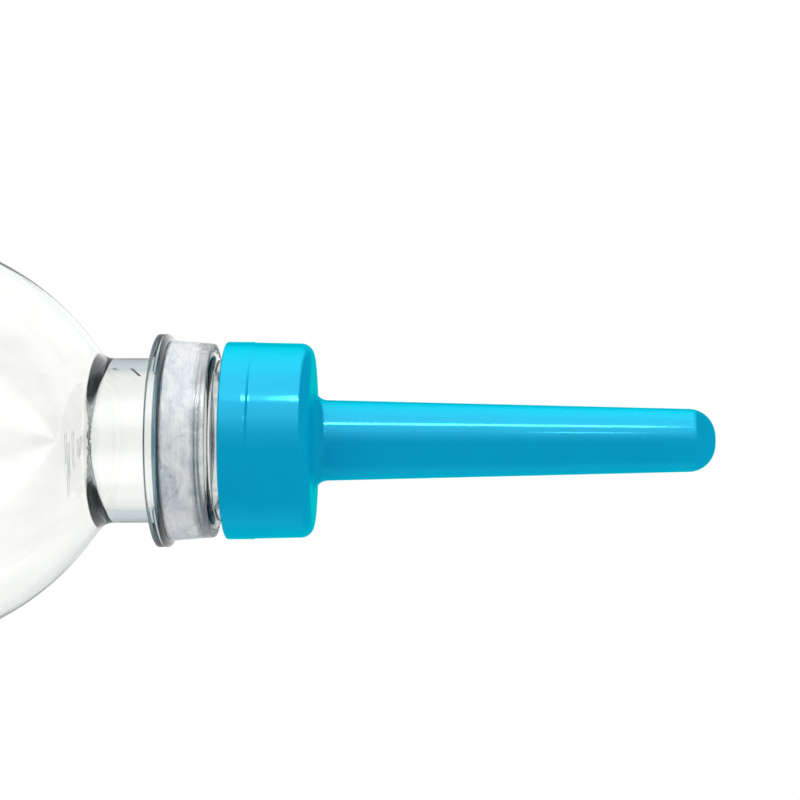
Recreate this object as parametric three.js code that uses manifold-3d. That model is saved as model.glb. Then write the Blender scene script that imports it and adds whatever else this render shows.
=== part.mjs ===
// A rabbit water bottle: a PET bottle with a 28 mm screw neck, and a one-piece drinking cap whose
// long spout ends in a steel ball valve. It stands upright on its base. Millimetres, +Z up along
// the bottle's axis, origin at the middle of the base.
import * as THREE from "three";
import { mergeVertices } from "three/addons/utils/BufferGeometryUtils.js";
import Module from "manifold-3d";

const wasm = await Module();
wasm.setup();

// Every turned piece has the same number of sides, so that their facets line up at each step of a turn.
const SIDES = 36;

// The bottle's body.
const BODY_RADIUS = 32.5;
const WALL = 0.4;
const PUSH_UP_HEIGHT = 8; // how far the middle of the base is pushed up
const RING_INNER_RADIUS = 19.5; // the flat ring that the bottle stands on
const RING_OUTER_RADIUS = 25.5;
const HEEL_RADIUS = BODY_RADIUS - RING_OUTER_RADIUS;
const GROOVE_DEPTH = 1;
const GROOVE_HALF_WIDTH = 2.4;
const LOWER_GROOVES = { first: 19, spacing: 10, count: 4 };
const UPPER_GROOVE_Z = 126;
const PANEL = { low: 60, high: 116, depth: 0.6, ramp: 1.5 }; // the straight part a label would cover

// The domed shoulder: an arc that starts upright at the body and leans in to a cone.
const SHOULDER_Z = 140;
const SHOULDER_ARC_RADIUS = 40.8;
const CONE_ANGLE = THREE.MathUtils.degToRad(52.5); // between the cone and the axis
const CONE_WALL = 0.9; // the shoulder's wall where it meets the neck
const NECK_FILLET_RADIUS = 5.8;

// The neck finish. Heights here and on the cap are measured from the underside of the support ledge.
const LEDGE_Z = 184;
const NECK_RADIUS = 12.75;
const BORE_RADIUS = 10.87;
const FINISH_RADIUS = 12.47; // the neck's wall behind the thread
const FINISH_HEIGHT = 21;
const LIP_CHAMFER = 0.5;
const LEDGE = { radius: 16.5, thickness: 2, edge: 0.6 };
const BEAD = { radius: 14, low: 6.5, high: 9.3 };

// The screw thread, right-handed, on the neck and inside the cap.
const PITCH = 3.18;
const NECK_THREAD = { root: 12.1, crest: 13.71, rootWidth: 2, crestWidth: 0.8, low: 12.9, sides: 62 };
const CAP_THREAD = { root: 14.3, crest: 12.9, rootWidth: 1.5, crestWidth: 0.7, low: 11.55, sides: 58 };
const THREAD_RUN_OUT = 0.1; // the share of a turn over which a thread fades in and out
const LEAST_THREAD = 0.1; // how much of its height is left at its ends, inside the wall
const VENT_SLOTS = 4;
const VENT_SLOT_WIDTH = 2.2;

// The ring left on the neck by the bottle's first closure.
const BAND = { low: 2.1, high: 8.6, lowRadius: 15.5, highRadius: 15, bore: 14.3, catchRadius: 13.4 };
const BAND_CATCH = { low: 2.7, high: 5.6 }; // the lip inside it that catches under the bead

// The cap: a plain skirt with a rounded front edge.
const CAP = { low: 10.5, high: 23.9, rimRadius: 15.3, stepHeight: 14.7, step: 0.1, topRadius: 15.05 };
const CAP_EDGE_RADIUS = 2;
const CAP_BORE_RADIUS = 13.9;
const CAP_ROOF = 1.4;

// The spout, in one piece with the cap.
const SPOUT_TIP = 86;
const SPOUT_ROOT_RADIUS = 6.25;
const SPOUT_END_RADIUS = 4.9; // just behind the rounded tip
const SPOUT_FILLET_RADIUS = 2.2;
const TIP_EDGE_RADIUS = 4.04;
const SPOUT_BORE_ROOT_RADIUS = 4.8;
const SPOUT_BORE_END_RADIUS = 3.75;
const TIP_HOLE_RADIUS = 2;
const TIP_WALL = 0.71; // from the valve's seat to the tip

// The ball, and the ribs that keep it near the tip.
const BALL_RADIUS = 3.175;
const BALL_TRAVEL = 2.4;
const SEAT_GAP = 0.05;
const RIB = { count: 3, radius: 2.85, width: 1, length: 4, gap: 0.05 };

// The sealing washer, between the neck's lip and the cap's roof.
const WASHER = { radius: 13.3, bore: 5, gap: 0.05 };

// Derived heights, from the ledge.
const SEAT_HEIGHT = SPOUT_TIP - TIP_WALL;
const BALL_SEATED_HEIGHT = SEAT_HEIGHT - Math.sqrt(BALL_RADIUS ** 2 - TIP_HOLE_RADIUS ** 2) - SEAT_GAP;
const BALL_HEIGHT = BALL_SEATED_HEIGHT - BALL_TRAVEL;
const RIB_TOP = BALL_HEIGHT - Math.sqrt(BALL_RADIUS ** 2 - RIB.radius ** 2) - RIB.gap;
const CAP_CEILING = CAP.high - CAP_ROOF;

const point = (radius, z) => new THREE.Vector2(radius, z);

// Points along a circle in the profile's plane, from one angle to another, both included.
function arc(radiusOfCentre, zOfCentre, radius, from, to, steps) {
  const points = [];
  for (let i = 0; i <= steps; i++) {
    const angle = THREE.MathUtils.lerp(from, to, i / steps);
    points.push(point(radiusOfCentre + radius * Math.cos(angle), zOfCentre + radius * Math.sin(angle)));
  }
  return points;
}

// A profile turned about Z.
function turned(profile) {
  return new THREE.LatheGeometry(profile, SIDES).rotateX(Math.PI / 2);
}

// A three.js geometry as a solid that can be joined and cut.
function solid(geometry) {
  const bare = geometry.clone();
  bare.deleteAttribute("normal");
  bare.deleteAttribute("uv");
  const merged = mergeVertices(bare, 1e-4);
  return new wasm.Manifold(
    new wasm.Mesh({
      numProp: 3,
      vertProperties: merged.attributes.position.array,
      triVerts: new Uint32Array(merged.index.array),
    }),
  );
}

// A solid back as a three.js geometry.
function geometryOf(made) {
  const mesh = made.getMesh();
  const geometry = new THREE.BufferGeometry();
  geometry.setAttribute("position", new THREE.BufferAttribute(mesh.vertProperties, 3));
  geometry.setIndex(new THREE.BufferAttribute(mesh.triVerts, 1));
  return geometry;
}

// A straight bar of the thread's section, wrapped round the axis as a helix that fades out at both ends.
// Its corners stand between the corners of the wall that it joins.
function thread({ root, crest, rootWidth, crestWidth, low, sides }) {
  const facing = Math.sign(crest - root); // 1 for a thread on the outside of a wall, -1 for one inside
  const turns = sides / SIDES;
  const section = new THREE.Shape([
    point(-rootWidth / 2, 0),
    point(rootWidth / 2, 0),
    point(crestWidth / 2, 1),
    point(-crestWidth / 2, 1),
  ]);
  const bar = new THREE.ExtrudeGeometry(section, { depth: turns, steps: sides, bevelEnabled: false });
  const at = bar.attributes.position;
  for (let i = 0; i < at.count; i++) {
    const along = at.getZ(i);
    const fromEnd = Math.min(along, turns - along) / THREAD_RUN_OUT;
    const height = at.getY(i) * THREE.MathUtils.clamp(fromEnd, LEAST_THREAD, 1);
    const radius = THREE.MathUtils.lerp(root, crest, height);
    const angle = (along + 0.5 / SIDES) * 2 * Math.PI;
    const z = low + PITCH * along + facing * at.getX(i);
    at.setXYZ(i, radius * Math.cos(angle), radius * Math.sin(angle), z);
  }
  return bar;
}

// One row of a block repeated round the axis.
function* around(count, geometry) {
  for (let i = 0; i < count; i++) {
    yield geometry.clone().rotateZ((i * 2 * Math.PI) / count);
  }
}

// The body's outline from the middle of the base to the top of the shoulder's arc, inset by the wall.
function bodyOutline(inset) {
  const domeEdge = RING_INNER_RADIUS - 0.5;
  const domeRadius = (domeEdge ** 2 + PUSH_UP_HEIGHT ** 2) / (2 * PUSH_UP_HEIGHT);
  const domeEdgeAngle = Math.acos(domeEdge / domeRadius);
  const wall = BODY_RADIUS - inset;
  const groove = (z) => [
    point(wall, z - GROOVE_HALF_WIDTH),
    point(wall - GROOVE_DEPTH, z - GROOVE_HALF_WIDTH / 3),
    point(wall - GROOVE_DEPTH, z + GROOVE_HALF_WIDTH / 3),
    point(wall, z + GROOVE_HALF_WIDTH),
  ];
  const lowerGrooves = [];
  for (let i = 0; i < LOWER_GROOVES.count; i++) {
    lowerGrooves.push(...groove(LOWER_GROOVES.first + i * LOWER_GROOVES.spacing));
  }
  const dome = arc(0, PUSH_UP_HEIGHT - domeRadius, domeRadius + inset, Math.PI / 2, domeEdgeAngle, 4);
  dome[0].x = 0;
  return [
    ...dome,
    point(RING_INNER_RADIUS, inset),
    ...arc(RING_OUTER_RADIUS, HEEL_RADIUS, HEEL_RADIUS - inset, -Math.PI / 2, 0, 5),
    ...lowerGrooves,
    point(wall, PANEL.low),
    point(wall - PANEL.depth, PANEL.low + PANEL.ramp),
    point(wall - PANEL.depth, PANEL.high - PANEL.ramp),
    point(wall, PANEL.high),
    ...groove(UPPER_GROOVE_Z),
    ...arc(BODY_RADIUS - SHOULDER_ARC_RADIUS, SHOULDER_Z, SHOULDER_ARC_RADIUS - inset, 0, CONE_ANGLE, 6),
  ];
}

function bottle() {
  // The fillet that turns the shoulder's cone into the neck touches both.
  const coneTop = point(
    BODY_RADIUS - SHOULDER_ARC_RADIUS + SHOULDER_ARC_RADIUS * Math.cos(CONE_ANGLE),
    SHOULDER_Z + SHOULDER_ARC_RADIUS * Math.sin(CONE_ANGLE),
  );
  const filletCentre = NECK_RADIUS + NECK_FILLET_RADIUS;
  const alongCone = NECK_FILLET_RADIUS - (filletCentre - coneTop.x) * Math.cos(CONE_ANGLE);
  const filletZ = coneTop.y + alongCone / Math.sin(CONE_ANGLE);
  const insideRadius = NECK_FILLET_RADIUS + CONE_WALL;
  const outside = [
    ...bodyOutline(0),
    ...arc(filletCentre, filletZ, NECK_FILLET_RADIUS, Math.PI + CONE_ANGLE, Math.PI, 5),
    point(NECK_RADIUS, LEDGE_Z),
    point(LEDGE.radius - LEDGE.edge, LEDGE_Z),
    point(LEDGE.radius, LEDGE_Z + LEDGE.edge),
    point(LEDGE.radius, LEDGE_Z + LEDGE.thickness - LEDGE.edge),
    point(LEDGE.radius - LEDGE.edge, LEDGE_Z + LEDGE.thickness),
    point(NECK_RADIUS, LEDGE_Z + LEDGE.thickness),
    point(NECK_RADIUS, LEDGE_Z + BEAD.low),
    point(BEAD.radius, LEDGE_Z + BEAD.low + 0.3),
    point(BEAD.radius, LEDGE_Z + BEAD.high - 1),
    point(FINISH_RADIUS, LEDGE_Z + BEAD.high),
    point(FINISH_RADIUS, LEDGE_Z + FINISH_HEIGHT - LIP_CHAMFER),
    point(FINISH_RADIUS - LIP_CHAMFER, LEDGE_Z + FINISH_HEIGHT),
  ];
  const inside = [
    ...bodyOutline(WALL),
    ...arc(filletCentre, filletZ, insideRadius, Math.PI + CONE_ANGLE, Math.PI + CONE_ANGLE / 2, 2),
    point(BORE_RADIUS, filletZ + 1),
    point(BORE_RADIUS, LEDGE_Z + FINISH_HEIGHT - LIP_CHAMFER / 2),
    point(BORE_RADIUS + LIP_CHAMFER / 2, LEDGE_Z + FINISH_HEIGHT),
  ];
  let ridge = solid(thread({ ...NECK_THREAD, low: LEDGE_Z + NECK_THREAD.low }));
  const slot = new THREE.BoxGeometry(4, VENT_SLOT_WIDTH, FINISH_HEIGHT);
  slot.translate(FINISH_RADIUS + 2.1, 0, LEDGE_Z + FINISH_HEIGHT / 2);
  slot.rotateZ(Math.PI / VENT_SLOTS);
  for (const cut of around(VENT_SLOTS, slot)) {
    ridge = ridge.subtract(solid(cut));
  }
  return geometryOf(solid(turned([...outside, ...inside.reverse()])).add(ridge));
}

function tamperBand() {
  return turned([
    point(BAND.bore, LEDGE_Z + BAND.low),
    point(BAND.lowRadius, LEDGE_Z + BAND.low),
    point(BAND.highRadius, LEDGE_Z + BAND.high),
    point(BAND.bore, LEDGE_Z + BAND.high),
    point(BAND.bore, LEDGE_Z + BAND_CATCH.high),
    point(BAND.catchRadius, LEDGE_Z + BAND_CATCH.high - 0.4),
    point(BAND.catchRadius, LEDGE_Z + BAND_CATCH.low + 0.8),
    point(BAND.bore, LEDGE_Z + BAND_CATCH.low),
    point(BAND.bore, LEDGE_Z + BAND.low),
  ]);
}

function capWithSpout() {
  const spoutFoot = CAP.high + SPOUT_FILLET_RADIUS;
  const tipEdge = SPOUT_TIP - TIP_EDGE_RADIUS;
  const tipEdgeCentre = SPOUT_END_RADIUS - TIP_EDGE_RADIUS;
  const holeAngle = Math.acos((TIP_HOLE_RADIUS - tipEdgeCentre) / TIP_EDGE_RADIUS);
  const quarter = Math.PI / 2;
  const heights = [
    point(CAP_BORE_RADIUS + 0.4, CAP.low),
    point(CAP.rimRadius - 0.2, CAP.low),
    point(CAP.rimRadius, CAP.low + 0.2),
    point(CAP.rimRadius, CAP.stepHeight),
    point(CAP.rimRadius - CAP.step, CAP.stepHeight + 0.2),
    ...arc(CAP.topRadius - CAP_EDGE_RADIUS, CAP.high - CAP_EDGE_RADIUS, CAP_EDGE_RADIUS, 0, quarter, 4),
    ...arc(SPOUT_ROOT_RADIUS + SPOUT_FILLET_RADIUS, spoutFoot, SPOUT_FILLET_RADIUS, -quarter, -2 * quarter, 4),
    ...arc(tipEdgeCentre, tipEdge, TIP_EDGE_RADIUS, 0, holeAngle, 5),
    point(TIP_HOLE_RADIUS, SEAT_HEIGHT),
    point(SPOUT_BORE_END_RADIUS, SEAT_HEIGHT - 1.2),
    point(SPOUT_BORE_END_RADIUS, SEAT_HEIGHT - 6),
    point(SPOUT_BORE_ROOT_RADIUS, CAP_CEILING),
    point(CAP_BORE_RADIUS, CAP_CEILING),
    point(CAP_BORE_RADIUS, CAP.low + 0.6),
    point(CAP_BORE_RADIUS + 0.4, CAP.low),
  ];
  const profile = heights.map((p) => point(p.x, LEDGE_Z + p.y));
  const outerEnd = SPOUT_BORE_END_RADIUS + 0.4;
  const rib = new THREE.BoxGeometry(outerEnd - RIB.radius, RIB.width, RIB.length);
  rib.translate((outerEnd + RIB.radius) / 2, 0, LEDGE_Z + RIB_TOP - RIB.length / 2);
  let made = solid(turned(profile)).add(solid(thread({ ...CAP_THREAD, low: LEDGE_Z + CAP_THREAD.low })));
  for (const one of around(RIB.count, rib)) {
    made = made.add(solid(one));
  }
  return geometryOf(made);
}

function sealWasher() {
  const low = LEDGE_Z + FINISH_HEIGHT + WASHER.gap;
  const high = LEDGE_Z + CAP_CEILING - WASHER.gap;
  return turned([
    point(WASHER.bore, low),
    point(WASHER.radius, low),
    point(WASHER.radius, high),
    point(WASHER.bore, high),
    point(WASHER.bore, low),
  ]);
}

function valveBall() {
  return new THREE.SphereGeometry(BALL_RADIUS, 18, 12).translate(0, 0, LEDGE_Z + BALL_HEIGHT);
}

const clearPlastic = { color: 0xe6eef0, roughness: 0.06, metalness: 0, transparent: true, opacity: 0.3 };
const frostedPlastic = { color: 0xd3dde3, roughness: 0.45, metalness: 0, transparent: true, opacity: 0.7 };
const bluePlastic = { color: 0x12b4dc, roughness: 0.25, metalness: 0 };
const rubber = { color: 0xe8e6e0, roughness: 0.8, metalness: 0 };
const steel = { color: 0xc9cccf, roughness: 0.15, metalness: 1 };

const rabbitWaterBottle = new THREE.Group();

function piece(name, geometry, look) {
  const mesh = new THREE.Mesh(geometry, new THREE.MeshStandardMaterial(look));
  mesh.name = name;
  rabbitWaterBottle.add(mesh);
}

piece("bottle", bottle(), clearPlastic);
piece("tamper_band", tamperBand(), frostedPlastic);
piece("seal_washer", sealWasher(), rubber);
piece("cap_spout", capWithSpout(), bluePlastic);
piece("valve_ball", valveBall(), steel);

export default rabbitWaterBottle;
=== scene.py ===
"""The looks of a rabbit water bottle: a clear PET bottle with a blue drinking cap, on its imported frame."""

import math

import bmesh
import bpy
from mathutils import Matrix, Vector


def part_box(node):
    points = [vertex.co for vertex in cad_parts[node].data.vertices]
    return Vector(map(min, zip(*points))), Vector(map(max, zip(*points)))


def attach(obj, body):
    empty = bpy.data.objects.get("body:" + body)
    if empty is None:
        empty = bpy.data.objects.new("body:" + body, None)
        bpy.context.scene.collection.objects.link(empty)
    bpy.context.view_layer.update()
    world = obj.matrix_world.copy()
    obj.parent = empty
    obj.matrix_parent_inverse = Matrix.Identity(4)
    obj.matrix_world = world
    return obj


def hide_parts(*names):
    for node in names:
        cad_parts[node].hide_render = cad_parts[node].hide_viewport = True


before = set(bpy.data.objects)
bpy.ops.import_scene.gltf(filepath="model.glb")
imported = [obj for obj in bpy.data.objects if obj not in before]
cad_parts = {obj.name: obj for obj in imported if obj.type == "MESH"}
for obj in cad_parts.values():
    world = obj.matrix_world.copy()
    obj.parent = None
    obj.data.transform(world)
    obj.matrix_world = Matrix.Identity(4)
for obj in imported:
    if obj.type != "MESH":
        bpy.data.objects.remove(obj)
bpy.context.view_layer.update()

MM = 0.001  # every length below is in millimetres, and meshes are made in metres
SIDES = 256  # sides of every turned piece


def box_mm(node):
    """Lowest and highest corners of a CAD node, in millimetres."""
    return [[x / MM for x in corner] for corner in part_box(node)]


# ---------------------------------------------------------------- sizes

# The bottle's body. Heights named "up" are measured from the underside of the neck's support ledge.
FINISH_UP = 21.0
_, (BODY_RADIUS, _, BOTTLE_TOP) = box_mm("bottle")
LEDGE_Z = BOTTLE_TOP - FINISH_UP
WALL = 0.32
PUSH_UP_HEIGHT = 8.0
RING_INNER_RADIUS, RING_OUTER_RADIUS = 19.5, 25.5  # the flat ring that the bottle stands on
PUSH_UP_RADIUS = RING_INNER_RADIUS - 0.5
HEEL_RADIUS = BODY_RADIUS - RING_OUTER_RADIUS
GROOVE_DEPTH, GROOVE_HALF_WIDTH, GROOVE_POWER = 1.0, 2.4, 0.8
GROOVE_STEPS = 14
LOWER_GROOVES = [19.0 + 10.0 * i for i in range(4)]
UPPER_GROOVE = 126.0
PANEL_LOW, PANEL_HIGH, PANEL_DEPTH, PANEL_RAMP = 60.0, 116.0, 0.6, 1.5
PANEL_RAMP_STEPS = 8
BELOW_GAP, PANEL_GAP, ABOVE_GAP = 0.5, 1.0, 0.8  # from the end of a curve to the straight wall's next point
SHOULDER_Z = 140.0
SHOULDER_ARC_RADIUS = 40.8
SHOULDER_ARC_CENTRE = BODY_RADIUS - SHOULDER_ARC_RADIUS
CONE_ANGLE = math.radians(52.5)

# The neck, with its root, where the thin wall of the body thickens to the neck's.
NECK_RADIUS = 12.75
NECK_FILLET_RADIUS = 3.4
NECK_CORNER, NECK_GAP = 0.3, 0.5
STEP_FROM_ANGLE, STEP_TO_DROP = 40, 0.1
STEP_POINTS, STEP_POWER = 24, 1.6
BORE_RADIUS = 10.87
FINISH_RADIUS = 12.47
LIP_OUTER_EDGE, LIP_INNER_EDGE = 0.5, 0.25

# The support ledge. Its rim is a little hollow between two rounded lobes, and its upper edge has a painted
# dark-blue shade that stands in for shadow and the blue cap seen in it.
LEDGE_RADIUS = 16.5
LEDGE_THICKNESS = 2.0
LEDGE_ROOT = 0.6
LEDGE_LOW_EDGE, LEDGE_HOLLOW = 0.12, 0.03
LEDGE_LOW_LOBE, LEDGE_HIGH_LOBE = 0.4, 1.4
LEDGE_SLOPE = 0.9
LEDGE_RIM_STEPS, LEDGE_EDGE_STEPS = 16, 12
# Painted dark-blue shade on the ledge's upper edge: its height above the ledge, the radius outside which it
# lies, and its fade.
LEDGE_SHADE_UP, LEDGE_SHADE_RADIUS, LEDGE_SHADE_FADE = 1.2, 15.4, 0.1

# The bead above the ledge.
BEAD_RADIUS, BEAD_LOW_UP, BEAD_HIGH_UP = 14.0, 6.5, 8.9
BEAD_FOOT, BEAD_POWER = 0.2, 0.8
BEAD_STEPS = 24

# The screw thread. A thread's widths are those of its root and its crest.
PITCH = 3.18
THREAD_SPACING = 0.13
THREAD_RUN_OUT = 0.1
THREAD_MOST_TURNS = 3
NECK_THREAD_CREST = 13.71
NECK_THREAD_START_UP, NECK_THREAD_TURNS, NECK_THREAD_WIDTHS = 12.9, 1.72, (2.0, 0.8)
NECK_THREAD_LOW_GAP, NECK_THREAD_HIGH_GAP = 0.4, 0.8
CAP_THREAD_CREST = 12.9
CAP_THREAD_START_UP, CAP_THREAD_TURNS, CAP_THREAD_WIDTHS = 11.55, 1.61, (1.4, 0.7)
VENT_SLOTS, VENT_SLOT_WIDTH, VENT_SLOT_FADE = 4, 2.2, 0.05

# Nicks in the neck and fine scratches on the shoulder: from and to angle, from and to height up, and width.
NICKS = [(50.0, 60.5, -1.7, -3.5, 0.6), (58.0, 60.8, -5.5, -6.2, 0.6)]
SCRATCHES = [
    (-12, 6, -11.2, -11.3, 0.13),
    (-20, 2, -10.95, -10.9, 0.13),
    (-16, 8, -10.4, -10.5, 0.13),
    (-31, -6, -11.3, -10.9, 0.13),
    (-10, 3, -9.8, -9.9, 0.15),
    (-8, 5, -9.6, -9.5, 0.17),
]
MARK_FADE_FROM, MARK_FADE_TO = 0.4, 0.499  # as shares of a mark's length, from its middle
MARK_DEPTH = 0.1

# The cap and its spout.
(_, _, CAP_LOW), (CAP_RADIUS, _, _) = box_mm("cap_spout")
CAP_HIGH = LEDGE_Z + 23.9
CAP_RIM_EDGE = 0.25
CAP_DRAFT = 0.02
CAP_STEP_Z, CAP_STEP, CAP_STEP_HEIGHT = LEDGE_Z + 14.7, 0.1, 0.12
CAP_TOP_RADIUS = 15.05
CAP_EDGE_RADIUS = 2.0
CAP_BORE_RADIUS = 13.9
CAP_CEILING = CAP_HIGH - 1.4
SPOUT_TIP = LEDGE_Z + 86.0
SPOUT_ROOT_RADIUS, SPOUT_END_RADIUS = 6.25, 4.9
SPOUT_FILLET_RADIUS = 2.2
TIP_EDGE_RADIUS = 4.04
TIP_HOLE_RADIUS, TIP_HOLE_EDGE = 2.0, 0.15
SEAT_Z = SPOUT_TIP - 0.71
SEAT_CORNER = (0.1, 0.07)  # out and down from the hole's lower edge
SEAT_HEIGHT, VALVE_HEIGHT = 1.2, 6.0  # below the seat, the cone ends and the parallel bore ends
SPOUT_BORE_ROOT_RADIUS, SPOUT_BORE_END_RADIUS = 4.8, 3.75
SPOUT_BORE_EDGE = 0.4

# The ball, and the ribs under it in the spout.
(_, _, BALL_LOW), (_, _, BALL_HIGH) = box_mm("valve_ball")
BALL_Z = (BALL_LOW + BALL_HIGH) / 2
BALL_RADIUS = (BALL_HIGH - BALL_LOW) / 2
BALL_SIDES = 96
RIB_COUNT, RIB_RADIUS, RIB_WIDTH, RIB_LENGTH = 3, 2.85, 1.0, 4.0
RIB_GAP = 0.05
RIB_TOP = BALL_Z - math.sqrt(BALL_RADIUS**2 - RIB_RADIUS**2) - RIB_GAP
RIB_FLANK = 0.2

# The tamper-evident band. Its milky scuffing ends below its lip, which is clear.
(_, _, BAND_LOW), (BAND_LOW_RADIUS, _, BAND_HIGH) = box_mm("tamper_band")
BAND_HIGH_RADIUS = 15.0
BAND_BORE = 14.3
BAND_LOW_EDGE, BAND_HIGH_EDGE, BAND_INNER_EDGE, BAND_CHAMFER = 0.25, 0.2, 0.1, 0.15
BAND_CATCH_RADIUS = 13.4
BAND_CATCH_LOW, BAND_CATCH_HIGH = LEDGE_Z + 2.7, LEDGE_Z + 5.6
BAND_CATCH_RISE, BAND_CATCH_FALL = 0.9, 0.5
BAND_CLEAR_FROM_UP, BAND_CLEAR_TO_UP = 6.3, 7.3

# The washer.
(_, _, WASHER_LOW), (WASHER_RADIUS, _, WASHER_HIGH) = box_mm("seal_washer")
WASHER_BORE = 5.0
WASHER_EDGE = 0.2
WASHER_SIDES = 128


# ---------------------------------------------------------------- profiles


def arc(centre_r, centre_z, radius, start, end, step=6.0):
    """Points (r, z) along a circle, from one angle in degrees to another, both included."""
    count = max(2, math.ceil(abs(end - start) / step))
    angles = [math.radians(start + (end - start) * i / count) for i in range(count + 1)]
    return [(centre_r + radius * math.cos(a), centre_z + radius * math.sin(a)) for a in angles]


def line(start, end, spacing=2.0):
    """Points along a straight stretch, without its end."""
    count = max(1, math.ceil(math.dist(start, end) / spacing))
    return [
        (start[0] + (end[0] - start[0]) * i / count, start[1] + (end[1] - start[1]) * i / count)
        for i in range(count)
    ]


def smooth_step(t):
    """0 below 0 and 1 above 1, with a smooth rise between."""
    t = min(1.0, max(0.0, t))
    return t * t * (3 - 2 * t)


def ring_faces(low, high, sides):
    """Faces between two neighbouring rings of a turned mesh. A ring on the axis is a single vertex."""
    if len(low) == 1 and len(high) == 1:
        return []
    faces = []
    for k in range(sides):
        n = (k + 1) % sides
        if len(low) == 1:
            faces.append((low[0], high[n], high[k]))
        elif len(high) == 1:
            faces.append((low[k], low[n], high[0]))
        else:
            faces.append((low[k], low[n], high[n], high[k]))
    return faces


def revolve(name, profile, sides=SIDES, change=None, closed=True):
    """A piece turned about Z from (r, z) points in millimetres. change(angle, r, z, index) gives a point as
    it is at that angle. closed joins the profile's end to its start."""
    verts, rings = [], []
    for index, (r, z) in enumerate(profile):
        if r < 1e-6:
            rings.append([len(verts)])
            verts.append((0.0, 0.0, z * MM))
            continue
        ring = []
        for k in range(sides):
            angle = 2 * math.pi * k / sides
            rr, zz = change(angle, r, z, index) if change else (r, z)
            ring.append(len(verts))
            verts.append((rr * math.cos(angle) * MM, rr * math.sin(angle) * MM, zz * MM))
        rings.append(ring)
    pairs = list(zip(rings, rings[1:]))
    if closed:
        pairs.append((rings[-1], rings[0]))
    faces = [face for low, high in pairs for face in ring_faces(low, high, sides)]
    mesh = bpy.data.meshes.new(name)
    mesh.from_pydata(verts, [], faces)
    mesh.update()
    piece = bpy.data.objects.new(name, mesh)
    bpy.context.scene.collection.objects.link(piece)
    outward(piece)
    return piece


def outward(piece):
    """Turns the piece's faces outward and shades them smooth."""
    bm = bmesh.new()
    bm.from_mesh(piece.data)
    bmesh.ops.remove_doubles(bm, verts=bm.verts, dist=1e-7)
    bmesh.ops.recalc_face_normals(bm, faces=bm.faces)
    if bm.calc_volume(signed=True) < 0:
        bmesh.ops.reverse_faces(bm, faces=bm.faces)
    for face in bm.faces:
        face.smooth = True
    bm.to_mesh(piece.data)
    bm.free()


def thread_height(angle, z, start_z, turns, widths):
    """How much of its full height, 0 to 1, a right-handed thread has at this place on a wall."""
    root_width, crest_width = widths
    best = 0.0
    for turn in range(THREAD_MOST_TURNS):
        along = turn + angle / (2 * math.pi)
        if along > turns:
            continue
        fade = smooth_step(min(along, turns - along) / THREAD_RUN_OUT)
        off = abs(z - (start_z + PITCH * along))
        flank = (root_width / 2 - off) / ((root_width - crest_width) / 2)
        best = max(best, fade * smooth_step(flank))
    return best


# ---------------------------------------------------------------- material helpers


class Nodes:
    """Short ways to add and link the nodes of a material or a world."""

    def __init__(self, tree):
        self.tree = tree

    def add(self, kind, **settings):
        node = self.tree.nodes.new(kind)
        for key, value in settings.items():
            setattr(node, key, value)
        return node

    def link(self, source, target):
        self.tree.links.new(source, target)

    def scaled(self, x, y, z):
        """The object's coordinates, stretched to so many units a metre along each axis."""
        node = self.add("ShaderNodeMapping")
        node.inputs["Scale"].default_value = (x, y, z)
        self.link(self.add("ShaderNodeTexCoord").outputs["Object"], node.inputs["Vector"])
        return node.outputs["Vector"]

    def split(self, vector):
        """The x, y and z of a vector."""
        node = self.add("ShaderNodeSeparateXYZ")
        self.link(vector, node.inputs["Vector"])
        return node.outputs

    def noise(self, vector, detail=4.0, roughness=0.55, distortion=0.0):
        """Noise. The vector's stretch sets its size."""
        node = self.add("ShaderNodeTexNoise")
        node.inputs["Scale"].default_value = 1.0
        node.inputs["Detail"].default_value = detail
        node.inputs["Roughness"].default_value = roughness
        node.inputs["Distortion"].default_value = distortion
        self.link(vector, node.inputs["Vector"])
        return node.outputs["Fac"]

    def math(self, operation, *values):
        """A maths node on sockets and numbers."""
        node = self.add("ShaderNodeMath", operation=operation)
        for value, target in zip(values, node.inputs):
            if isinstance(value, (int, float)):
                target.default_value = value
            else:
                self.link(value, target)
        return node.outputs["Value"]

    def side(self, x, y):
        """The angle round Z, in radians: 0 towards -Y and positive towards -X."""
        return self.math("ARCTAN2", self.math("MULTIPLY", x, -1.0), self.math("MULTIPLY", y, -1.0))

    def mix(self, factor, first, second, blend="MIX"):
        """The first colour where the factor is 0 and the second, or their blend, where it is 1."""
        node = self.add("ShaderNodeMix", data_type="RGBA", blend_type=blend)
        for value, target in zip((factor, first, second), (node.inputs[0], node.inputs[6], node.inputs[7])):
            if isinstance(value, tuple):
                target.default_value = (*value, 1.0)
            elif isinstance(value, float):
                target.default_value = value
            else:
                self.link(value, target)
        return node.outputs[2]

    def ramp(self, value, *stops):
        """A colour ramp; each stop is (place, colour)."""
        node = self.add("ShaderNodeValToRGB")
        ramp = node.color_ramp
        while len(ramp.elements) < len(stops):
            ramp.elements.new(0.5)
        for element, (place, colour) in zip(ramp.elements, stops):
            element.position = place
            element.color = (*colour, 1.0)
        self.link(value, node.inputs["Fac"])
        return node.outputs["Color"]

    def range(self, value, low, high, from_low=0.0, from_high=1.0):
        """The value with from_low turned into low and from_high into high, and held between them."""
        node = self.add("ShaderNodeMapRange")
        node.inputs["From Min"].default_value = from_low
        node.inputs["From Max"].default_value = from_high
        node.inputs["To Min"].default_value = low
        node.inputs["To Max"].default_value = high
        self.link(value, node.inputs["Value"])
        return node.outputs["Result"]

    def bump(self, height, strength, distance, normal=None):
        """A bumped normal. The distance is in metres."""
        node = self.add("ShaderNodeBump")
        node.inputs["Strength"].default_value = strength
        node.inputs["Distance"].default_value = distance
        self.link(height, node.inputs["Height"])
        if normal is not None:
            self.link(normal, node.inputs["Normal"])
        return node.outputs["Normal"]


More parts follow.
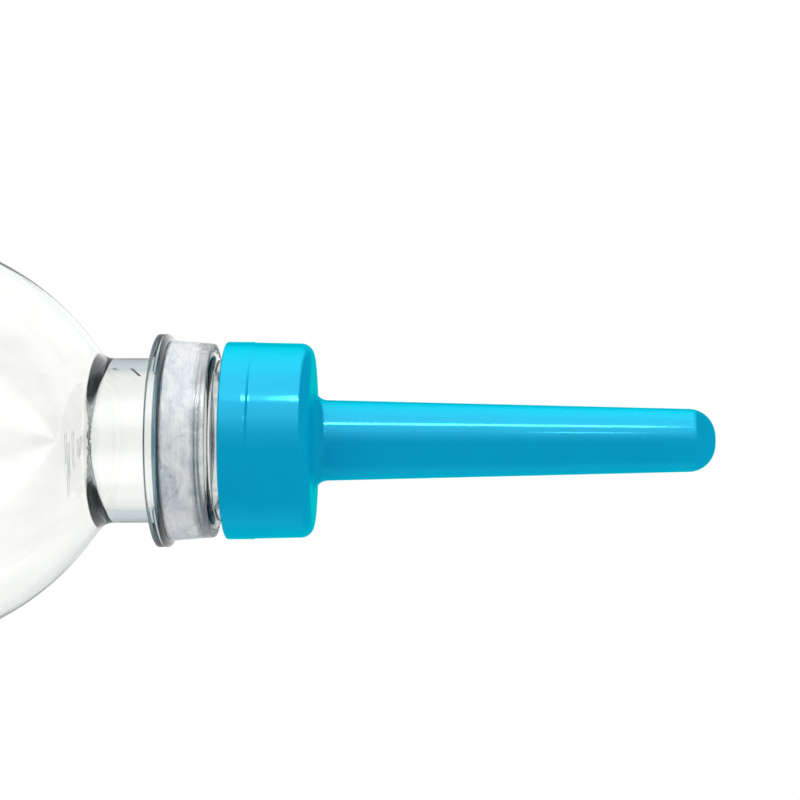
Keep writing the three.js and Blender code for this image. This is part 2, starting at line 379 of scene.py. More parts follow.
class Finish(Nodes):
    """A new material, with one Principled shader."""

    def __init__(self, name, **settings):
        self.material = bpy.data.materials.new(name)
        self.material.use_nodes = True
        super().__init__(self.material.node_tree)
        self.shader = self.tree.nodes["Principled BSDF"]
        self.output = self.tree.nodes["Material Output"]
        for key, value in settings.items():
            self.shader.inputs[key.replace("_", " ")].default_value = value

    def drive(self, name, source):
        """Lets a node set one of the shader's inputs."""
        self.link(source, self.shader.inputs[name])


# ---------------------------------------------------------------- materials

PET_SURFACE = (0.995, 0.997, 0.99)
PET_HAZE, PET_HAZE_FROM, PET_HAZE_TO = (0.91, 0.922, 0.885), 0.42, 0.85
# Painted dark-blue shade on the ledge's upper edge, standing in for shadow and the blue cap seen in it.
PET_LEDGE_PAINTED_SHADE = (0.03, 0.085, 0.14)
PET_DEPTH, PET_DEPTH_DENSITY = (0.56, 0.60, 0.58, 1.0), 60.0
NICK_COLOUR = (0.004, 0.006, 0.008)
SCRATCH_COLOUR = (0.5, 0.52, 0.5)

BAND_BLOTS = [(0.34, (0.55, 0.63, 0.68)), (0.5, (0.84, 0.89, 0.92)), (0.64, (1.0, 1.0, 1.0))]
BAND_STROKES = [(0.35, (0.55, 0.55, 0.55)), (0.6, (1.0, 1.0, 1.0))]
BAND_STROKE_SHARE = 0.35
BAND_MILKY, BAND_CLEAR = 0.38, 0.95  # how much light goes through the scuffed part, and the lip
BAND_LIP_POLISH = 0.2

BLUE_PATCHES = [(0.3, (0.0, 0.295, 0.515)), (0.7, (0.0, 0.325, 0.55))]
BLUE_COAT = (0.2, 1.0, 1.0, 1.0)
BLUE_GLOSS = (0.6, 0.74, 1.0, 1.0)

RUBBER_PATCHES = [(0.3, (0.66, 0.65, 0.62)), (0.7, (0.76, 0.75, 0.72))]
STEEL = (0.72, 0.73, 0.74, 1.0)


def surface_mark(m, radius, side, z, start_angle, end_angle, start_up, end_up, width):
    """1 on a thin straight mark in the outside of the bottle, and 0 elsewhere."""
    along = m.range(side, 0.0, 1.0, math.radians(start_angle), math.radians(end_angle))
    middle = m.range(along, (LEDGE_Z + start_up) * MM, (LEDGE_Z + end_up) * MM)
    off = m.math("ABSOLUTE", m.math("SUBTRACT", z, middle))
    on_line = m.range(off, 1.0, 0.0, width * MM / 4, width * MM / 2)
    from_middle = m.math("ABSOLUTE", m.math("SUBTRACT", along, 0.5))
    within = m.range(from_middle, 1.0, 0.0, MARK_FADE_FROM, MARK_FADE_TO)
    outside = m.math("GREATER_THAN", radius, (NECK_RADIUS - MARK_DEPTH) * MM)
    return m.math("MULTIPLY", outside, m.math("MULTIPLY", on_line, within))


def painted_ledge_shade(m, radius, z):
    """Mask of the painted dark-blue shade: 1 on the support ledge's upper edge, and 0 elsewhere."""
    fade = LEDGE_SHADE_FADE * MM
    rim = LEDGE_SHADE_RADIUS * MM
    low = (LEDGE_Z + LEDGE_SHADE_UP) * MM
    high = (LEDGE_Z + LEDGE_THICKNESS + LEDGE_SHADE_FADE) * MM
    in_rim = m.range(radius, 0.0, 1.0, rim, rim + fade)
    above_low = m.range(z, 0.0, 1.0, low, low + fade)
    below_high = m.range(z, 1.0, 0.0, high, high + fade)
    return m.math("MULTIPLY", in_rim, m.math("MULTIPLY", above_low, below_high))


def clear_pet():
    """Clear plastic with the slow waves and faint haze of a blown wall. The ledge's upper edge has a painted
    dark-blue shade, and the surface has nicks and scratches."""
    m = Finish("clear_pet", Roughness=0.0, IOR=1.575, Transmission_Weight=1.0)
    x, y, z = m.split(m.scaled(1, 1, 1))
    radius = m.math("SQRT", m.math("ADD", m.math("MULTIPLY", x, x), m.math("MULTIPLY", y, y)))
    side = m.side(x, y)
    haze = m.noise(m.scaled(170, 170, 32), detail=3.0)
    colour = m.mix(m.range(haze, 0.0, 1.0, PET_HAZE_FROM, PET_HAZE_TO), PET_SURFACE, PET_HAZE)
    # Painted dark-blue shade on the ledge's upper edge.
    colour = m.mix(painted_ledge_shade(m, radius, z), colour, PET_LEDGE_PAINTED_SHADE)
    for marks, mark_colour in ((NICKS, NICK_COLOUR), (SCRATCHES, SCRATCH_COLOUR)):
        for mark in marks:
            colour = m.mix(surface_mark(m, radius, side, z, *mark), colour, mark_colour)
    m.drive("Base Color", colour)
    wave = m.noise(m.scaled(60, 60, 25), detail=2.0)
    fine = m.noise(m.scaled(900, 900, 120), detail=3.0)
    waves = m.bump(wave, strength=0.4, distance=0.0005)
    m.drive("Normal", m.bump(fine, strength=0.07, distance=0.0001, normal=waves))
    depth = m.add("ShaderNodeVolumeAbsorption")
    depth.inputs["Color"].default_value = PET_DEPTH
    depth.inputs["Density"].default_value = PET_DEPTH_DENSITY
    m.link(depth.outputs["Volume"], m.output.inputs["Volume"])
    return m.material


def frosted_band():
    """Milky plastic, scuffed and brushed round by the cap that turned on it."""
    m = Finish("frosted_band", IOR=1.42)
    strokes = m.noise(m.scaled(140, 140, 1500), detail=5.0, roughness=0.6, distortion=0.3)
    blots = m.noise(m.scaled(190, 190, 260), detail=5.0, roughness=0.65, distortion=1.2)
    brushed = m.ramp(strokes, *BAND_STROKES)
    m.drive("Base Color", m.mix(BAND_STROKE_SHARE, m.ramp(blots, *BAND_BLOTS), brushed, "MULTIPLY"))
    z = m.split(m.scaled(1, 1, 1))["Z"]
    lip = m.range(z, 0.0, 1.0, (LEDGE_Z + BAND_CLEAR_FROM_UP) * MM, (LEDGE_Z + BAND_CLEAR_TO_UP) * MM)
    m.drive("Transmission Weight", m.range(lip, BAND_MILKY, BAND_CLEAR))
    worn = m.range(blots, 0.25, 0.45, 0.3, 0.7)
    m.drive("Roughness", m.math("MULTIPLY", worn, m.range(lip, 1.0, BAND_LIP_POLISH)))
    brushing = m.bump(strokes, strength=0.35, distance=0.0002)
    m.drive("Normal", m.bump(blots, strength=0.6, distance=0.0006, normal=brushing))
    return m.material


def blue_plastic():
    """Glossy blue plastic. The coat has no shine of its own: it only colours what the plastic mirrors."""
    m = Finish("blue_plastic", Roughness=0.1, IOR=1.5, Coat_Weight=1.0, Coat_IOR=1.0, Coat_Roughness=0.0)
    m.shader.inputs["Coat Tint"].default_value = BLUE_COAT
    m.shader.inputs["Specular Tint"].default_value = BLUE_GLOSS
    cloud = m.noise(m.scaled(90, 90, 90), detail=5.0)
    m.drive("Base Color", m.ramp(cloud, *BLUE_PATCHES))
    grain = m.noise(m.scaled(2600, 2600, 2600), detail=2.0)
    m.drive("Normal", m.bump(grain, strength=0.05, distance=0.00005))
    return m.material


def washer_rubber():
    """Matt off-white rubber with a fine grain."""
    m = Finish("washer_rubber", Roughness=0.65)
    m.drive("Base Color", m.ramp(m.noise(m.scaled(300, 300, 300)), *RUBBER_PATCHES))
    grain = m.noise(m.scaled(4000, 4000, 4000))
    m.drive("Normal", m.bump(grain, strength=0.2, distance=0.00005))
    return m.material


def ball_steel():
    """Polished steel with faint rolling marks."""
    m = Finish("ball_steel", Metallic=1.0, Base_Color=STEEL)
    marks = m.noise(m.scaled(1500, 1500, 300))
    m.drive("Roughness", m.range(marks, 0.06, 0.16))
    return m.material


# ---------------------------------------------------------------- the bottle


def groove(wall, z):
    """A shallow rounded groove round the body."""
    points = []
    for i in range(GROOVE_STEPS + 1):
        t = -1 + 2 * i / GROOVE_STEPS
        depth = GROOVE_DEPTH * (0.5 + 0.5 * math.cos(math.pi * t)) ** GROOVE_POWER
        points.append((wall - depth, z + t * GROOVE_HALF_WIDTH))
    return points


def panel_ramp(wall, low, high, rising):
    """The short slope into or out of the label panel."""
    points = []
    for i in range(PANEL_RAMP_STEPS + 1):
        t = i / PANEL_RAMP_STEPS
        depth = PANEL_DEPTH * smooth_step(t if rising else 1 - t)
        points.append((wall - depth, low + (high - low) * t))
    return points


def body_outline(inset):
    """From the middle of the base to the top of the shoulder's arc, this far inside the outer wall."""
    dome_radius = (PUSH_UP_RADIUS**2 + PUSH_UP_HEIGHT**2) / (2 * PUSH_UP_HEIGHT)
    edge_angle = math.degrees(math.acos(PUSH_UP_RADIUS / dome_radius))
    wall = BODY_RADIUS - inset
    panel = wall - PANEL_DEPTH
    points = arc(0, PUSH_UP_HEIGHT - dome_radius, dome_radius + inset, 90, edge_angle, 2.0)
    points[0] = (0.0, points[0][1])
    points += line((RING_INNER_RADIUS, inset), (RING_OUTER_RADIUS, inset))
    points += arc(RING_OUTER_RADIUS, HEEL_RADIUS, HEEL_RADIUS - inset, -90, 0, 5)
    last = HEEL_RADIUS
    for z in LOWER_GROOVES:
        points += line((wall, last + BELOW_GAP), (wall, z - GROOVE_HALF_WIDTH))
        points += groove(wall, z)
        last = z + GROOVE_HALF_WIDTH
    points += line((wall, last + BELOW_GAP), (wall, PANEL_LOW))
    points += panel_ramp(wall, PANEL_LOW, PANEL_LOW + PANEL_RAMP, True)
    points += line((panel, PANEL_LOW + PANEL_RAMP + PANEL_GAP), (panel, PANEL_HIGH - PANEL_RAMP), 6)
    points += panel_ramp(wall, PANEL_HIGH - PANEL_RAMP, PANEL_HIGH, False)
    points += line((wall, PANEL_HIGH + ABOVE_GAP), (wall, UPPER_GROOVE - GROOVE_HALF_WIDTH))
    points += groove(wall, UPPER_GROOVE)
    points += line((wall, UPPER_GROOVE + GROOVE_HALF_WIDTH + ABOVE_GAP), (wall, SHOULDER_Z))
    top_angle = math.degrees(CONE_ANGLE)
    points += arc(SHOULDER_ARC_CENTRE, SHOULDER_Z, SHOULDER_ARC_RADIUS - inset, 0, top_angle, 1.5)
    return points


def root_centre():
    """Centre (r, z) of the fillet between the shoulder's cone and the neck."""
    cone_r = SHOULDER_ARC_CENTRE + SHOULDER_ARC_RADIUS * math.cos(CONE_ANGLE)
    cone_z = SHOULDER_Z + SHOULDER_ARC_RADIUS * math.sin(CONE_ANGLE)
    r = NECK_RADIUS + NECK_FILLET_RADIUS
    z = cone_z + (NECK_FILLET_RADIUS - (r - cone_r) * math.cos(CONE_ANGLE)) / math.sin(CONE_ANGLE)
    return r, z


def ledge_rim():
    """The support ledge from its underside, over its rim and its rounded upper edge, to its top."""
    low = LEDGE_LOW_EDGE
    edge = LEDGE_RADIUS - low
    points = line((NECK_RADIUS + LEDGE_ROOT, LEDGE_Z), (edge, LEDGE_Z), 0.8)
    points += arc(edge, LEDGE_Z + low, low, -90, -10, 16)
    for i in range(1, LEDGE_RIM_STEPS):
        up = low + (LEDGE_HIGH_LOBE - low) * i / LEDGE_RIM_STEPS
        turn = 2 * math.pi * (up - LEDGE_LOW_LOBE) / (LEDGE_HIGH_LOBE - LEDGE_LOW_LOBE)
        hollow = 0.5 - 0.5 * math.cos(turn)
        points.append((LEDGE_RADIUS - LEDGE_HOLLOW * hollow, LEDGE_Z + up))
    for i in range(LEDGE_EDGE_STEPS + 1):
        turn = i / LEDGE_EDGE_STEPS * math.pi / 2
        up = LEDGE_HIGH_LOBE + (LEDGE_THICKNESS - LEDGE_HIGH_LOBE) * math.sin(turn)
        points.append((LEDGE_RADIUS - LEDGE_SLOPE * (1 - math.cos(turn)), LEDGE_Z + up))
    return points


def bead():
    """The rounded bead that keeps the tamper-evident band on the neck."""
    foot_z = LEDGE_Z + BEAD_LOW_UP - BEAD_FOOT
    points = arc(NECK_RADIUS + BEAD_FOOT, foot_z, BEAD_FOOT, 180, 90, 30)
    half = (BEAD_HIGH_UP - BEAD_LOW_UP) / 2
    for i in range(BEAD_STEPS + 1):
        angle = math.pi * (i / BEAD_STEPS - 0.5)
        height = max(0.0, math.cos(angle)) ** BEAD_POWER
        r = FINISH_RADIUS + (BEAD_RADIUS - FINISH_RADIUS) * height
        points.append((r, LEDGE_Z + BEAD_LOW_UP + half * (1 + math.sin(angle))))
    return points


def bottle_outside():
    """From the middle of the base to the lip, and the indices of the points of the thread's wall."""
    root_r, root_z = root_centre()
    fillet = arc(root_r, root_z, NECK_FILLET_RADIUS, 180 + math.degrees(CONE_ANGLE), 180, 5)
    corner_r = NECK_RADIUS + NECK_CORNER
    ledge_top = LEDGE_Z + LEDGE_THICKNESS
    bead_foot = (NECK_RADIUS, LEDGE_Z + BEAD_LOW_UP - BEAD_FOOT)
    points = body_outline(0)
    points += line(points.pop(), fillet[0], 1.2)
    points += fillet[:-1]
    points += line(fillet[-1], (NECK_RADIUS, LEDGE_Z - NECK_CORNER), 1.0)
    points += arc(corner_r, LEDGE_Z - NECK_CORNER, NECK_CORNER, 180, 90, 30)
    points += ledge_rim()
    points += line(points.pop(), (corner_r, ledge_top), 0.8)
    points += arc(corner_r, ledge_top + NECK_CORNER, NECK_CORNER, -90, -180, 30)
    points += line((NECK_RADIUS, ledge_top + NECK_GAP), bead_foot, 0.8)
    points += bead()
    thread_low = (FINISH_RADIUS, LEDGE_Z + BEAD_HIGH_UP + NECK_THREAD_LOW_GAP)
    thread_high = (FINISH_RADIUS, BOTTLE_TOP - NECK_THREAD_HIGH_GAP)
    thread = line(thread_low, thread_high, THREAD_SPACING)
    on_thread = range(len(points), len(points) + len(thread))
    points += thread
    edge = LIP_OUTER_EDGE
    points += arc(FINISH_RADIUS - edge, BOTTLE_TOP - edge, edge, 0, 90, 12)
    return points, on_thread


def bottle_inside():
    """From the middle of the base, a thin wall inside the outside, to the neck's thicker wall and lip."""
    root_r, root_z = root_centre()
    start_angle = 180 + math.degrees(CONE_ANGLE)
    thin = arc(root_r, root_z, NECK_FILLET_RADIUS + WALL, start_angle, 180 + STEP_FROM_ANGLE, 3)
    points = body_outline(WALL)
    points += line(points.pop(), thin[0], 0.6)
    points += thin
    start_r, start_z = points.pop()
    end_z = root_z - STEP_TO_DROP
    for i in range(STEP_POINTS + 1):
        t = i / STEP_POINTS
        r = start_r + (BORE_RADIUS - start_r) * (1 - (1 - t) ** STEP_POWER)
        points.append((r, start_z + (end_z - start_z) * t))
    edge = LIP_INNER_EDGE
    points += line((BORE_RADIUS, end_z + 1.0), (BORE_RADIUS, BOTTLE_TOP - edge - 0.05), 1.5)
    points += arc(BORE_RADIUS + edge, BOTTLE_TOP - edge, edge, 180, 90, 20)
    return points


def beside_vent(angle):
    """0 in a vent slot, which cuts through the neck's thread, and 1 beside it."""
    sector = 2 * math.pi / VENT_SLOTS
    off = (angle - sector / 2) % sector
    off = min(off, sector - off)
    return smooth_step((off - VENT_SLOT_WIDTH / 2 / NECK_THREAD_CREST) / VENT_SLOT_FADE)


def make_bottle():
    """The bottle, one closed shell of outside and inside."""
    outside, on_thread = bottle_outside()
    thread_start_z = LEDGE_Z + NECK_THREAD_START_UP

    def with_thread(angle, r, z, index):
        if index not in on_thread:
            return r, z
        height = thread_height(angle, z, thread_start_z, NECK_THREAD_TURNS, NECK_THREAD_WIDTHS)
        return r + height * beside_vent(angle) * (NECK_THREAD_CREST - FINISH_RADIUS), z

    piece = revolve("bottle_shell", outside + bottle_inside()[::-1], change=with_thread, closed=False)
    piece.data.materials.append(clear_pet())
    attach(piece, "bottle")
    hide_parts("bottle")


# ---------------------------------------------------------------- the tamper-evident band


def make_band():
    """The band: a slightly tapered ring, with a catch inside that holds it under the bead."""
    low, high, inner, chamfer = BAND_LOW_EDGE, BAND_HIGH_EDGE, BAND_INNER_EDGE, BAND_CHAMFER
    profile = arc(BAND_LOW_RADIUS - low, BAND_LOW + low, low, -90, 0, 30)
    profile += line((BAND_LOW_RADIUS - 0.03, BAND_LOW + 0.5), (BAND_HIGH_RADIUS, BAND_HIGH - high), 0.4)
    profile += arc(BAND_HIGH_RADIUS - high, BAND_HIGH - high, high, 0, 90, 30)
    profile += arc(BAND_BORE + inner, BAND_HIGH - inner, inner, 90, 180, 45)
    profile += line((BAND_BORE, BAND_HIGH - 0.4), (BAND_BORE, BAND_CATCH_HIGH), 0.5)
    profile += [
        (BAND_BORE - 0.05, BAND_CATCH_HIGH),
        (BAND_CATCH_RADIUS + chamfer, BAND_CATCH_HIGH - 0.2),
        (BAND_CATCH_RADIUS, BAND_CATCH_HIGH - BAND_CATCH_FALL),
        (BAND_CATCH_RADIUS, BAND_CATCH_LOW + BAND_CATCH_RISE),
        (BAND_BORE, BAND_CATCH_LOW),
        (BAND_BORE, BAND_LOW + chamfer),
        (BAND_BORE + chamfer, BAND_LOW),
    ]
    piece = revolve("band_ring", profile)
    piece.data.materials.append(frosted_band())
    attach(piece, "band")
    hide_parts("tamper_band")
    return piece


# ---------------------------------------------------------------- the washer


def make_washer():
    """The flat sealing washer, with rounded edges."""
    edge = WASHER_EDGE
    outer, inner = WASHER_RADIUS - edge, WASHER_BORE + edge
    profile = arc(outer, WASHER_LOW + edge, edge, -90, 0, 30)
    profile += arc(outer, WASHER_HIGH - edge, edge, 0, 90, 30)
    profile += line((WASHER_RADIUS - 1, WASHER_HIGH), (inner, WASHER_HIGH), 1.5)
    profile += arc(inner, WASHER_HIGH - edge, edge, 90, 180, 30)
    profile += arc(inner, WASHER_LOW + edge, edge, 180, 270, 30)
    profile += line((WASHER_BORE + 1, WASHER_LOW), (WASHER_RADIUS - 1, WASHER_LOW), 1.5)
    piece = revolve("washer_ring", profile, sides=WASHER_SIDES)
    piece.data.materials.append(washer_rubber())
    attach(piece, "washer")
    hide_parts("seal_washer")


# ---------------------------------------------------------------- the cap and spout


def cap_outside():
    """From the cap's open rim, over its step, its front and the spout, to the edge of the tip's hole."""
    rim = CAP_RIM_EDGE
    top = CAP_HIGH - CAP_EDGE_RADIUS
    stepped = CAP_RADIUS - CAP_STEP
    front_r = CAP_TOP_RADIUS - CAP_EDGE_RADIUS
    foot_r, foot_z = SPOUT_ROOT_RADIUS + SPOUT_FILLET_RADIUS, CAP_HIGH + SPOUT_FILLET_RADIUS
    tip_r, tip_z = SPOUT_END_RADIUS - TIP_EDGE_RADIUS, SPOUT_TIP - TIP_EDGE_RADIUS
    hole_angle = math.degrees(math.acos((TIP_HOLE_RADIUS + TIP_HOLE_EDGE - tip_r) / TIP_EDGE_RADIUS))
    points = arc(CAP_RADIUS - rim, CAP_LOW + rim, rim, -90, 0, 15)
    points += line((CAP_RADIUS, CAP_LOW + rim + 0.3), (CAP_RADIUS - CAP_DRAFT, CAP_STEP_Z), 1.0)
    points += [(CAP_RADIUS - CAP_DRAFT, CAP_STEP_Z), (stepped, CAP_STEP_Z + CAP_STEP_HEIGHT)]
    points += line((stepped - 0.01, CAP_STEP_Z + 0.4), (CAP_TOP_RADIUS, top), 1.0)
    points += arc(front_r, top, CAP_EDGE_RADIUS, 0, 90, 5)
    points += line((front_r - 0.3, CAP_HIGH), (foot_r, CAP_HIGH), 0.8)
    points += arc(foot_r, foot_z, SPOUT_FILLET_RADIUS, -90, -180, 6)
    points += line((SPOUT_ROOT_RADIUS - 0.01, foot_z + 0.5), (SPOUT_END_RADIUS, tip_z), 1.5)
    points += arc(tip_r, tip_z, TIP_EDGE_RADIUS, 0, hole_angle, 4)
    return points


def cap_inside(hole_z):
    """From the edge of the hole in the tip, down the bore and the thread's wall, to the cap's open rim. Also
    the indices of the points of the ribs' wall and of the thread's."""
    edge = SPOUT_BORE_EDGE
    seat_end = (SPOUT_BORE_END_RADIUS, SEAT_Z - SEAT_HEIGHT)
    valve_end = (SPOUT_BORE_END_RADIUS, SEAT_Z - VALVE_HEIGHT)
    seat_corner = (TIP_HOLE_RADIUS + SEAT_CORNER[0], SEAT_Z - SEAT_CORNER[1])
    points = [
        (TIP_HOLE_RADIUS + 0.03, hole_z - 0.06),
        (TIP_HOLE_RADIUS, hole_z - TIP_HOLE_EDGE),
        (TIP_HOLE_RADIUS, SEAT_Z),
    ]
    points += line(seat_corner, seat_end, 0.4)
    ribbed = line(seat_end, valve_end, 0.1)
    ribbed += line(valve_end, (SPOUT_BORE_ROOT_RADIUS, CAP_CEILING + edge), 0.5)
    on_ribs = range(len(points), len(points) + len(ribbed))
    points += ribbed
    points += arc(SPOUT_BORE_ROOT_RADIUS + edge, CAP_CEILING + edge, edge, 180, 270, 30)
    points += line((SPOUT_BORE_ROOT_RADIUS + 2 * edge, CAP_CEILING), (CAP_BORE_RADIUS, CAP_CEILING), 1.5)
    thread = line((CAP_BORE_RADIUS, CAP_CEILING - 1), (CAP_BORE_RADIUS, CAP_LOW + 0.7), THREAD_SPACING)
    on_thread = range(len(points), len(points) + len(thread))
    points += thread
    points += [(CAP_BORE_RADIUS + 0.1, CAP_LOW + 0.45), (CAP_BORE_RADIUS + 0.35, CAP_LOW + 0.1)]
    return points, on_ribs, on_thread


def rib_height(angle, r, z):
    """How much of its full height, 0 to 1, a rib that carries the ball has at this place on the bore."""
    sector = 2 * math.pi / RIB_COUNT
    off = r * abs((angle + sector / 2) % sector - sector / 2)
    across = smooth_step((RIB_WIDTH / 2 - off) / RIB_FLANK)
    below_top = smooth_step((RIB_TOP - z) / RIB_FLANK)
    above_end = smooth_step((z - RIB_TOP + RIB_LENGTH) / RIB_FLANK)
    return across * below_top * above_end


def make_cap():
    """The cap and spout, one moulding with a thread inside the cap and ribs inside the spout."""
    outside = cap_outside()
    inside, on_ribs, on_thread = cap_inside(outside[-1][1])
    thread_start_z = LEDGE_Z + CAP_THREAD_START_UP

    def with_thread_and_ribs(angle, r, z, index):
        index -= len(outside)
        if index in on_thread:
            height = thread_height(angle, z, thread_start_z, CAP_THREAD_TURNS, CAP_THREAD_WIDTHS)
            return r - height * (CAP_BORE_RADIUS - CAP_THREAD_CREST), z
        if index in on_ribs:
            return r - rib_height(angle, r, z) * (r - RIB_RADIUS), z
        return r, z

    piece = revolve("cap_moulding", outside + inside, change=with_thread_and_ribs)
    piece.data.materials.append(blue_plastic())
    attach(piece, "cap")
    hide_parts("cap_spout")
    return piece


# ---------------------------------------------------------------- the ball


def make_ball():
    """The valve ball."""
    profile = arc(0, BALL_Z, BALL_RADIUS, -90, 90, 4)
    profile[0] = (0.0, profile[0][1])
    profile[-1] = (0.0, profile[-1][1])
    piece = revolve("steel_ball", profile, sides=BALL_SIDES, closed=False)
    piece.data.materials.append(ball_steel())
    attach(piece, "ball")
    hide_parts("valve_ball")


# ---------------------------------------------------------------- stage, light and camera

# The camera looks level at the neck and spout.
CAMERA_DISTANCE = 233.0
CAMERA_UP = 37.2  # height of the view's centre above the ledge
CAMERA_OFFSET = 6.27  # how far the view's centre is off the bottle's axis
LENS = 67.5
CLIP_START, CLIP_END = 0.01, 20.0

# The floor, in metres. It starts to fade at FLOOR_FADE and ends at FLOOR_RADIUS.
FLOOR_RADIUS, FLOOR_FADE, FLOOR_DROP = 0.5, 0.25, 0.0002
FLOOR_RINGS, FLOOR_SIDES = 24, 96
FLOOR_PAPER = (0.9, 0.9, 0.9, 1.0)

# The strip lamps: angle, lower and upper end above the ledge, width, and radiance.
STRIP_DISTANCE = 500.0
STRIPS = {
    "edge_strip": (50.5, 0.0, 184.0, 44.0, 55.0),
    "second_strip": (27.4, 128.0, 172.0, 24.0, 22.0),
}

# What glossy surfaces mirror, by its angle round the bottle's axis: 0 is towards the camera and 90 the
# picture's top, where a large soft window is. The window's ends fade between heights on a unit sphere.
MIRRORED = [
    (-180, 0.6),
    (-140, 0.8),
    (-100, 1.3),
    (-75, 0.5),
    (-5, 0.5),
    (10, 1.8),
    (20, 3.6),
    (32, 6.0),
    (47.6, 7.4),
    (48, 10.8),
    (62, 9.6),
    (92, 8.9),
    (112, 6.4),
    (130, 3.4),
    (150, 1.0),
    (180, 0.6),
]
LEVEL_LOW, LEVEL_HIGH = (-0.62, -0.45), (0.25, 0.42)
FAR_MIRRORED = (0.6, 0.6, 0.6)  # what is mirrored above and below the window

# What clear plastic shows: the ground, brighter than white to make up for what each wall takes off, and the
# dark far above and below. Light that has bounced inside the plastic comes from darker sides the more it has
# bounced.
WHITE = (1.0, 1.0, 1.0)
GROUND = (1.12, 1.12, 1.11)
DARK = (0.06, 0.09, 0.125)
DARK_FROM, DARK_TO = 0.46, 0.66
TRAPPED_DEPTH = 4.0
TRAPPED = [
    (0.0, WHITE),
    (0.25, (0.68, 0.75, 0.79)),
    (0.5, (0.24, 0.32, 0.38)),
    (1.0, (0.16, 0.22, 0.27)),
]

# What clear plastic, the only thing with a perfect polish, mirrors, by its angle round the bottle's axis
# either way from the camera: the dark behind the camera, then bright walls, then the ground.
CLEAR_MIRRORED = [(0, 0.0), (12, 0.1), (30, 2.4), (52, 2.4), (68, 0.5), (180, 0.4)]

# Behind the bottle it also mirrors the bright ground and ceiling, off the level of the neck's own outline.
BACK_MIRRORED = [(-180, 0.9), (-112, 0.9), (-90, 0.0), (90, 0.0), (112, 1.6), (180, 1.6)]
BACK_LEVEL, BACK_GAP = -0.16, (0.04, 0.07)


def make_camera():
    """Level with the neck, and rolled so that the spout points to the right of the picture."""
    data = bpy.data.cameras.new("camera")
    data.lens = LENS
    data.clip_start = CLIP_START
    data.clip_end = CLIP_END
    camera = bpy.data.objects.new("camera", data)
    bpy.context.scene.collection.objects.link(camera)
    right, up, back = Vector((0, 0, 1)), Vector((-1, 0, 0)), Vector((0, -1, 0))
    turn = Matrix((right, up, back)).transposed().to_4x4()
    place = Vector((-CAMERA_OFFSET, -CAMERA_DISTANCE, LEDGE_Z + CAMERA_UP)) * MM
    camera.matrix_world = Matrix.Translation(place) @ turn
    bpy.context.scene.camera = camera


def floor_mesh():
    """A flat round mesh of rings about its middle."""
    verts = [(0.0, 0.0, 0.0)]
    for i in range(1, FLOOR_RINGS + 1):
        r = FLOOR_RADIUS * i / FLOOR_RINGS
        for k in range(FLOOR_SIDES):
            angle = 2 * math.pi * k / FLOOR_SIDES
            verts.append((r * math.cos(angle), r * math.sin(angle), 0.0))
    faces = [(0, 1 + k, 1 + (k + 1) % FLOOR_SIDES) for k in range(FLOOR_SIDES)]
    for i in range(FLOOR_RINGS - 1):
        low, high = 1 + i * FLOOR_SIDES, 1 + (i + 1) * FLOOR_SIDES
        for k in range(FLOOR_SIDES):
            n = (k + 1) % FLOOR_SIDES
            faces.append((low + k, high + k, high + n, low + n))
    mesh = bpy.data.meshes.new("floor")
    mesh.from_pydata(verts, [], faces)
    return mesh


def make_floor():
    """A pale round floor that fades out at its edge."""
    floor = bpy.data.objects.new("floor", floor_mesh())
    floor.location.z = -FLOOR_DROP
    bpy.context.scene.collection.objects.link(floor)
    m = Finish("floor_paper", Roughness=0.9, Base_Color=FLOOR_PAPER)
    grain = m.noise(m.scaled(500, 500, 500))
    m.drive("Normal", m.bump(grain, strength=0.1, distance=0.0002))
    length = m.add("ShaderNodeVectorMath", operation="LENGTH")
    m.link(m.scaled(1, 1, 1), length.inputs[0])
    m.drive("Alpha", m.range(length.outputs["Value"], 1.0, 0.0, FLOOR_FADE, FLOOR_RADIUS))
    floor.data.materials.append(m.material)


def strip_light(name, receivers, angle, low_up, high_up, width, radiance):
    """An upright strip lamp that only the receivers' gloss shows. The angle is round the bottle's axis, with
    0 towards the camera and 90 towards the picture's top. Its ends are heights above the ledge."""
    data = bpy.data.lights.new(name, "AREA")
    data.shape = "RECTANGLE"
    data.size = width * MM
    data.size_y = (high_up - low_up) * MM
    data.energy = radiance * math.pi * data.size * data.size_y
    lamp = bpy.data.objects.new(name, data)
    turn = math.radians(angle)
    away = Vector((-math.sin(turn), -math.cos(turn), 0.0))
    lamp.location = away * STRIP_DISTANCE * MM
    lamp.location.z = (LEDGE_Z + (low_up + high_up) / 2) * MM
    lamp.rotation_euler = away.to_track_quat("Z", "Y").to_euler()
    lamp.visible_camera = False
    lamp.visible_diffuse = False
    lamp.visible_transmission = False
    lamp.light_linking.receiver_collection = receivers
    bpy.context.scene.collection.objects.link(lamp)


def make_lights(*receivers):
    """The strip lamps for the receivers' highlights."""
    collection = bpy.data.collections.new("strip_receivers")
    for piece in receivers:
        collection.objects.link(piece)
    for name, settings in STRIPS.items():
        strip_light(name, collection, *settings)


def brightness(n, place, stops):
    """A brightness by angle. The place runs from 0 at the first stop's angle to 1 at the last stop's."""
    first, last = stops[0][0], stops[-1][0]
    most = max(bright for _, bright in stops)
    shares = [((angle - first) / (last - first), (bright / most,) * 3) for angle, bright in stops]
    return n.math("MULTIPLY", n.ramp(place, *shares), most)


def window_mirrored(n, z, all_round):
    """What glossy surfaces mirror: the large window, with its fading ends."""
    below_end = n.range(z, 0.0, 1.0, *LEVEL_LOW)
    above_end = n.range(z, 1.0, 0.0, *LEVEL_HIGH)
    in_window = n.math("MULTIPLY", below_end, above_end)
    return n.mix(in_window, FAR_MIRRORED, brightness(n, all_round, MIRRORED))


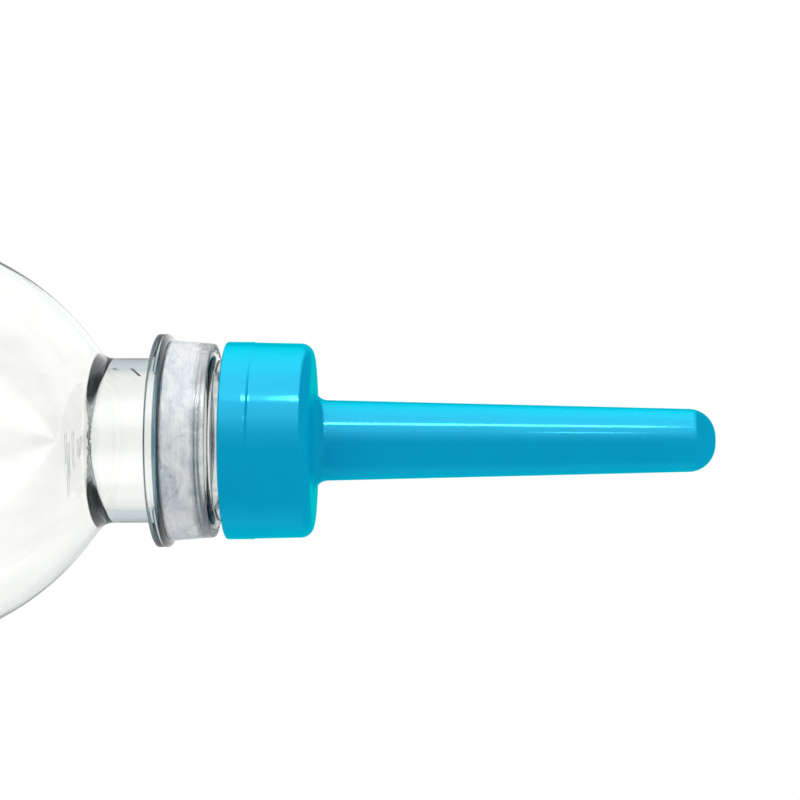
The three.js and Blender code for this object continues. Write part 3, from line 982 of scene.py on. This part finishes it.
def clear_mirrored(n, z, side, all_round):
    """What clear plastic mirrors: walls and ground, and behind it the bright ground and ceiling."""
    either_way = n.math("DIVIDE", n.math("ABSOLUTE", side), math.pi)
    walls = brightness(n, either_way, CLEAR_MIRRORED)
    behind = brightness(n, all_round, BACK_MIRRORED)
    off_level = n.range(n.math("ABSOLUTE", n.math("SUBTRACT", z, BACK_LEVEL)), 0.0, 1.0, *BACK_GAP)
    return n.math("MAXIMUM", walls, n.math("MULTIPLY", behind, off_level))


def seen_through(n, z, bounces):
    """What clear plastic shows behind itself, darker after more bounces inside it."""
    around = n.ramp(n.math("ABSOLUTE", z), (DARK_FROM, GROUND), (DARK_TO, DARK))
    trapped = n.ramp(n.math("DIVIDE", bounces, TRAPPED_DEPTH), *TRAPPED)
    return n.mix(1.0, around, trapped, "MULTIPLY")


def make_world():
    """White ground all round. Clear plastic also shows the dark far above and below, which gives it edges.
    Glossy surfaces show a large soft window on the side of the picture's top."""
    world = bpy.data.worlds.new("world")
    bpy.context.scene.world = world
    world.use_nodes = True
    world.cycles.sampling_method = "NONE"
    n = Nodes(world.node_tree)
    x, y, z = n.split(n.add("ShaderNodeTexCoord").outputs["Generated"])
    ray = n.add("ShaderNodeLightPath").outputs
    side = n.side(x, y)
    all_round = n.range(side, 0.0, 1.0, -math.pi, math.pi)
    in_window = window_mirrored(n, z, all_round)
    in_clear = clear_mirrored(n, z, side, all_round)
    mirrored = n.mix(ray["Is Singular Ray"], in_window, in_clear)
    colour = n.mix(ray["Is Glossy Ray"], WHITE, mirrored)
    colour = n.mix(ray["Is Transmission Ray"], colour, seen_through(n, z, ray["Glossy Depth"]))
    colour = n.mix(ray["Is Camera Ray"], colour, WHITE)
    background = n.tree.nodes["Background"]
    n.link(colour, background.inputs["Color"])
    background.inputs["Strength"].default_value = 1.0


make_camera()
make_bottle()
band = make_band()
make_washer()
cap = make_cap()
make_ball()
make_floor()
make_lights(cap, band)
make_world()
bpy.context.scene.view_settings.view_transform = "Standard"
